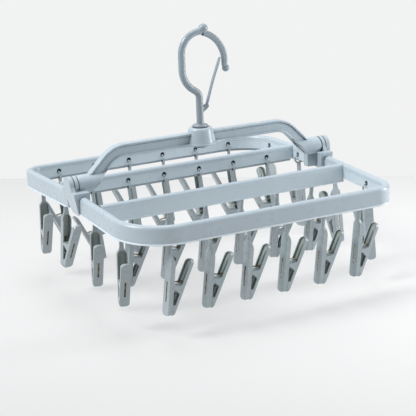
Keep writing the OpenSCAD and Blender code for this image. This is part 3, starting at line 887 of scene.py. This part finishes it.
def arm_mesh():
    inset = CLIP_HALF - CORNER
    foot = -CLIP_LONG + CORNER
    outline = arc((-inset, foot), CORNER, 180, 270, 6) + arc((inset, foot), CORNER, 270, 360, 6)
    outline += ARM_EDGE + [(-y, z) for y, z in reversed(ARM_EDGE)]
    channel = [(-5.0, -78.4), (-4.5, -79), (4.5, -79), (5.0, -78.4), (5.0, -27)]
    channel += arc((0, -26.4), CHANNEL_HALF, 0, 180, 12)[1:-1] + [(-5.0, -27)]
    arm = cut(solid(prism, outline, ALONG_X, -1.6, 4.4), solid(prism, channel, ALONG_X, 0.2, 10))
    arm = cut(arm, solid(prism, ARM_OPEN, ALONG_Y, -20, 20))
    tool = bmesh.new()
    prism(tool, slot_outline(-51, -73), ALONG_X, -5, 1)
    for z in (-88, -85.5, -83, -80.5):        # jaw teeth
        prism(tool, [(5.0, z - 0.8), (3.8, z), (5.0, z + 0.8)], ALONG_Y, -20, 20)
    prism(tool, NECK_BACK, ALONG_Y, -20, 20)
    arm = cut(arm, to_mesh(tool))
    seat = solid(lathe, [(0, -20), (2.5, -20), (2.5, 20), (0, 20)],
                 ((FULCRUM[0], 0, FULCRUM[1]), X, Z, Y), 32)
    # The bevel's faces take slot 2, the painted highlight
    arm = bevel(cut(arm, seat), 0.42, 2, 38, slot=2)
    # Open ring and the web joining it to the neck
    ring = bmesh.new()
    angles = [radians(62 + 322 * i / 30) for i in range(31)]
    tube(ring, [(0, 5.05 * cos(a), 5.05 * sin(a)) for a in angles], 1.25, 14, up=X)
    prism(ring, fillet(RING_WEB, 0.4, 2), ALONG_X, -1.15, 1.15)
    return join(arm, to_mesh(ring))


def lever_mesh():
    profile = [lever_at(up, depth) for up, depth in (
        (0, 0), (LEVER_LONG, 0), (LEVER_LONG, 2.6), (LEVER_LONG - 3, 4.2),
        (LEVER_LONG - 8, 4.5), (36.5, 4.5), (35.6, 5.0))]
    profile += [(7.4, -55.7)] + arc(FULCRUM, 2.4, 128, 262, 10) + [(6.6, -59.9)]
    profile += [lever_at(26.0, 4.7), lever_at(25.2, 3.5), lever_at(12.5, 3.4),
                (4.6, -78.4), (4.5, -79.2), (4.5, TIP[1])]
    inset, top = CLIP_HALF - CORNER, LEVER_LONG - CLIP_HALF
    face = arc((0, top), CLIP_HALF, 0, 180, 16) + arc((-inset, CORNER), CORNER, 180, 235, 4)
    face += [(-inset, -8), (inset, -8)] + arc((inset, CORNER), CORNER, 305, 360, 4)
    lever = cut(solid(prism, profile, ALONG_Y, -CLIP_HALF, CLIP_HALF),
                solid(prism, face, LEVER, -8, 34), "INTERSECT")
    tool = bmesh.new()
    upper = [(-5.0, 36.8), (5.0, 36.8)] + arc((0, top), CHANNEL_HALF, 0, 180, 12)
    prism(tool, upper, LEVER, 1.8, 20)
    lower = fillet([(-5.0, 12.0), (5.0, 12.0), (5.0, 24.8), (-5.0, 24.8)], 0.8, 2)
    prism(tool, lower, LEVER, 1.8, 20)
    prism(tool, slot_outline(38.6, 16.5), LEVER, -4, 2.6)
    for z in (-86.75, -84.25, -81.75):        # jaw teeth
        prism(tool, [(3.9, z - 0.8), (5.1, z), (3.9, z + 0.8)], ALONG_Y, -20, 20)
    # The bevel's faces take slot 2, the painted highlight
    lever = bevel(cut(lever, to_mesh(tool)), 0.42, 2, 38, slot=2)
    rib = fillet([(-0.75, 41.5), (0.75, 41.5), (0.75, 58), (-0.75, 58)], 0.5)
    return join(lever, solid(prism, rib, LEVER, 1.6, 2.5))


def strand_path(y):
    """One strand: up the arm's slot, over the fulcrum, down the lever's slot."""
    close = 0.46 if y > 0 else -0.46
    (hook_x, hook_z), (turn_x, turn_z) = lever_at(40.2, 2.6), lever_at(40.6, 1.6)
    points = [
        (-1.0, close, -72.6), (-1.0, close, -64), (-1.0, close, -55.5),
        (-0.95, close * 1.1, -52.6), (-0.2, y * 0.6, -50.9), (1.2, y * 0.95, -50.3),
        (3.6, y, -50.9), (hook_x - 2.6, y, hook_z - 0.4), (hook_x - 0.7, y, hook_z + 0.2),
        (hook_x + 0.5, y * 0.8, hook_z - 0.1), (turn_x, close, turn_z - 0.6)]
    for up in (39.0, 30, 24, 17.6):
        x, z = lever_at(up, 0.95)
        points.append((x, close, z))
    return spline(points)


def spring_mesh():
    shape = bmesh.new()
    for y in (-1.35, 1.35):
        tube(shape, strand_path(y), 0.42, 10)
    return to_mesh(shape)


# Mask of the arm's channel floor, which gets painted shade
def arm_channel(c, normal):
    return 0.1 < c.x < 0.32 and abs(c.y) < 5.05 and -79.2 < c.z < -22 and normal.x > 0.6


# Mask of the spring slot's walls, which get painted shade
def arm_slot_wall(c, normal):
    return (abs(normal.x) < 0.5 and abs(c.y) < 1.06 and -1.35 < c.x < 0.15
            and -74.1 < c.z < -49.9)


def lever_channel(c, normal):
    """Channel floors, and everything inside the lower pocket: where shade is painted."""
    offset = c - Vector(LEVER[0])
    up, depth = offset.dot(Vector(LEVER_UP)), offset.dot(Vector(LEVER_IN))
    floor = 1.5 < depth < 2.05 and abs(c.y) < 5.05 and normal.dot(Vector(LEVER_IN)) > 0.6
    return floor or (12.2 < up < 24.7 and 1.5 < depth < 3.6 and abs(c.y) < 4.95)


def paint_clip(mesh, *regions):
    """Fill the slots, keep the bevel's slot 2 as a painted highlight, then mark regions given as
    (test, slot); slots 1 and 3 hold painted shade.
    """
    held = [face.material_index for face in mesh.polygons]
    set_materials(mesh, (clip_plastic, clip_channel_shade, clip_edge_highlight, clip_slot_shade))
    mesh.polygons.foreach_set("material_index", held)
    for test, slot in regions:
        for face in mesh.polygons:
            if test(face.center, face.normal):
                face.material_index = slot


def clip_place(name, k, turn):
    """Where a clip hangs, in millimetres about the hinge line."""
    front = "front" in name
    if name.endswith(("rail", "bar")):
        x = row_x(k)
        inner = RAIL_IN - curve_in(-x if front else x, ARM_IN) if "rail" in name else BAR_IN
        y = inner + STRIP_OUT
        heading = (0 if front else 180) + turn
    else:
        y = SIDE_Y[k]
        inward = curve_in(y, RAIL_IN) if name in ("left_front", "right_rear") else 0
        x = (ARM_IN + STRIP_OUT - inward) * (-1 if "left" in name else 1)
        heading = (-90 if "left" in name else 90) + turn
    reach = y * cos(SAG) + STRIP_Z * sin(SAG)
    z = -y * sin(SAG) + STRIP_Z * cos(SAG)
    return (Matrix.Translation((x, -reach if front else reach, z - RING_DROP))
            @ Matrix.Rotation(radians(heading), 4, "Z") @ Matrix.Rotation(CLIP_LEAN, 4, "Y"))


arm, lever, spring = arm_mesh(), lever_mesh(), spring_mesh()
paint_clip(arm, (arm_channel, 1), (arm_slot_wall, 3))
paint_clip(lever, (lever_channel, 1))
for mesh, name in ((arm, "clip_arm"), (lever, "clip_lever"), (spring, "clip_spring")):
    finish(mesh, name, Matrix.Scale(MM, 4), 40)
spring.materials.append(spring_wire)
blend_x, blend_z = lever_at(38, 2)
for row, turns in CLIP_TURNS.items():
    for k, turn in enumerate(turns):
        hang = clip_place(row, k, turn)
        matrix = PLACE @ hang @ Matrix.Scale(1 / MM, 4)
        tag = "%s_%d" % (row, k + 1)
        piece("arm_%s_v" % tag, arm, "clips_" + row, "arms_" + row, matrix)
        piece("lever_%s_v" % tag, lever, "lever_" + tag, "lever_" + tag, matrix)
        strand = piece("spring_%s_v" % tag, spring.copy(), None, "springs_" + row,
                       matrix, weighted=False)
        end = PLACE @ hang @ Vector((blend_x, 0, blend_z))
        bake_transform(strand)

# ---------------------------------------------------------------- pins and retainer as loaded
for name, material in (("hinge_pin_left", handle_plastic), ("hinge_pin_right", handle_plastic),
                       ("hook_retainer", gate_plastic)):
    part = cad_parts[name]
    part.data.materials.clear()
    part.data.materials.append(material)
    edge = part.modifiers.new("edge", "BEVEL")
    edge.width = 0.0004
    edge.segments = 2
    edge.limit_method = "ANGLE"
    edge.angle_limit = radians(50)

# ---------------------------------------------------------------- camera
CAMERA_AT = (-813.4, -1592.3, 464.2)          # mm about the hinge line
YAW, PITCH_DOWN, ROLL = radians(27.25), radians(16.27), radians(-2.01)

forward = Vector((sin(YAW) * cos(PITCH_DOWN), cos(YAW) * cos(PITCH_DOWN), -sin(PITCH_DOWN)))
level = Vector((cos(YAW), -sin(YAW), 0))
upright = level.cross(forward)
camera_right = level * cos(ROLL) + upright * sin(ROLL)
camera_up = -level * sin(ROLL) + upright * cos(ROLL)
camera = bpy.data.cameras.new("camera")
camera.sensor_fit = "HORIZONTAL"
camera.sensor_width = 36.0
camera.lens = 128.808173
camera.clip_start = 0.05
camera.clip_end = 50
viewer = add_object("camera", camera)
turn = Matrix((camera_right, camera_up, -forward)).transposed()
viewer.matrix_world = Matrix.Translation(PLACE @ Vector(CAMERA_AT)) @ turn.to_4x4()
bpy.context.scene.camera = viewer

# ---------------------------------------------------------------- floor
FLOOR_Z = (PLACE @ Vector((0, 0, -152))).z
# Two points on the floor's far edge, metres; the floor runs on past both and towards the viewer
FAR_LEFT = Vector((-0.05067038, 0.62540596, FLOOR_Z))
FAR_RIGHT = Vector((0.50435379, 0.25849369, FLOOR_Z))
FLOOR_SIDE, FLOOR_NEAR = 6, 9
# Distances towards the viewer between which the paper's painted light brightens, then dims again
BRIGHT_FULL, DIM_START, DIM_END = -0.118978, 0.147262, 0.418081

along = (FAR_RIGHT - FAR_LEFT).normalized()
near = Vector((along.y, -along.x, 0))


def floor_mesh():
    left, right = FAR_LEFT - along * FLOOR_SIDE, FAR_RIGHT + along * FLOOR_SIDE
    shape = bmesh.new()
    corners = [left, right, right + near * FLOOR_NEAR, left + near * FLOOR_NEAR]
    shape.faces.new([shape.verts.new(v) for v in corners])
    bmesh.ops.recalc_face_normals(shape, faces=shape.faces)
    return to_mesh(shape, "floor")


def floor_paper():
    """Pale paper with painted light: it partly glows to lift its shadows, and is painted dimmer at
    the far edge and nearest the viewer.
    """
    material, tree, shader, coords = new_material("floor_paper")
    cloud = remap(tree, noise(tree, coords, scale=1.2, detail=2), over=(0.3, 0.7))
    colour = mix(tree, cloud, (0.885, 0.892, 0.897), (0.905, 0.912, 0.916))
    reach = dot(tree, coords, near)
    far = remap(tree, reach, out=(0.87, 1.0), over=(near.dot(FAR_LEFT), BRIGHT_FULL))
    close = remap(tree, reach, out=(1.0, 0.90), over=(DIM_START, DIM_END))
    level = math(tree, "MULTIPLY", far, close)
    grey = add_node(tree, "ShaderNodeCombineColor", {0: level, 1: level, 2: level}).outputs[0]
    colour = mix(tree, 1.0, colour, grey, "MULTIPLY")
    lit = mix(tree, 1.0, colour, (0.47, 0.465, 0.46), "MULTIPLY")
    tree.links.new(lit, shader.inputs["Base Color"])
    # Painted light: the glow lightens the paper's shadows
    tree.links.new(colour, shader.inputs["Emission Color"])
    shader.inputs["Emission Strength"].default_value = 0.345
    shader.inputs["Roughness"].default_value = 0.85
    grain = bump(tree, noise(tree, coords, scale=900, detail=2), strength=0.08, distance=0.0005)
    tree.links.new(grain, shader.inputs["Normal"])
    return material


floor = add_object("floor", floor_mesh())
floor.data.materials.append(floor_paper())

bpy.context.scene.view_settings.view_transform = "Standard"


# ---------------------------------------------------------------- world and lights
def studio():
    """Plain backdrop for the camera; for lighting, a room bright above and dim near-left."""
    world = bpy.data.worlds.new("studio")
    bpy.context.scene.world = world
    world.use_nodes = True
    tree = world.node_tree
    tree.nodes.clear()
    out = tree.nodes.new("ShaderNodeOutputWorld")
    backdrop = add_node(tree, "ShaderNodeBackground", {0: (0.885, 0.888, 0.89), 1: 1.0})
    room = add_node(tree, "ShaderNodeBackground", {0: (0.96, 0.98, 1.0)})
    seen = tree.nodes.new("ShaderNodeLightPath").outputs["Is Camera Ray"]
    blend = add_node(tree, "ShaderNodeMixShader",
                     {0: seen, 1: room.outputs[0], 2: backdrop.outputs[0]})
    way = tree.nodes.new("ShaderNodeTexCoord").outputs["Generated"]
    overhead = dot(tree, way, Vector((-0.10, 0.35, 0.93)).normalized())
    sky = remap(tree, overhead, out=(0.30, 0.95), over=(-0.2, 0.95))
    near_left = dot(tree, way, Vector((-0.44, -0.88, -0.16)).normalized())
    dim = remap(tree, near_left, out=(1.0, 0.05), over=(0.25, 0.88))
    tree.links.new(math(tree, "MULTIPLY", sky, dim), room.inputs[1])
    tree.links.new(blend.outputs[0], out.inputs[0])


def aim(light, direction):
    light.rotation_mode = "QUATERNION"
    light.rotation_quaternion = direction.to_track_quat("-Z", "Y")


def area(name, offset, target, size, power):
    """Cool rectangular light; offset and target in metres from the middle of the hinge."""
    data = bpy.data.lights.new(name, "AREA")
    data.shape = "RECTANGLE"
    data.size, data.size_y = size
    data.energy = power
    data.color = (0.98, 0.99, 1.0)
    light = add_object(name, data)
    middle = PLACE @ Vector(ORIGIN)
    light.location = middle + Vector(offset)
    aim(light, (middle + Vector(target)) - (middle + Vector(offset)))


studio()
sun = bpy.data.lights.new("key_sun", "SUN")
sun.energy = 2.05
sun.angle = radians(24)
sun.color = (1.0, 0.995, 0.985)
aim(add_object("key_sun", sun), Vector((0.72, -0.10, -0.69)))
area("top", offset=(0.1, 0.5, 2.2), target=ORIGIN, size=(0.9, 2.4), power=15)
area("right_front", offset=(0.95, -0.44, 0.12), target=(0.05, -0.08, -0.18),
     size=(0.35, 0.7), power=7.0)
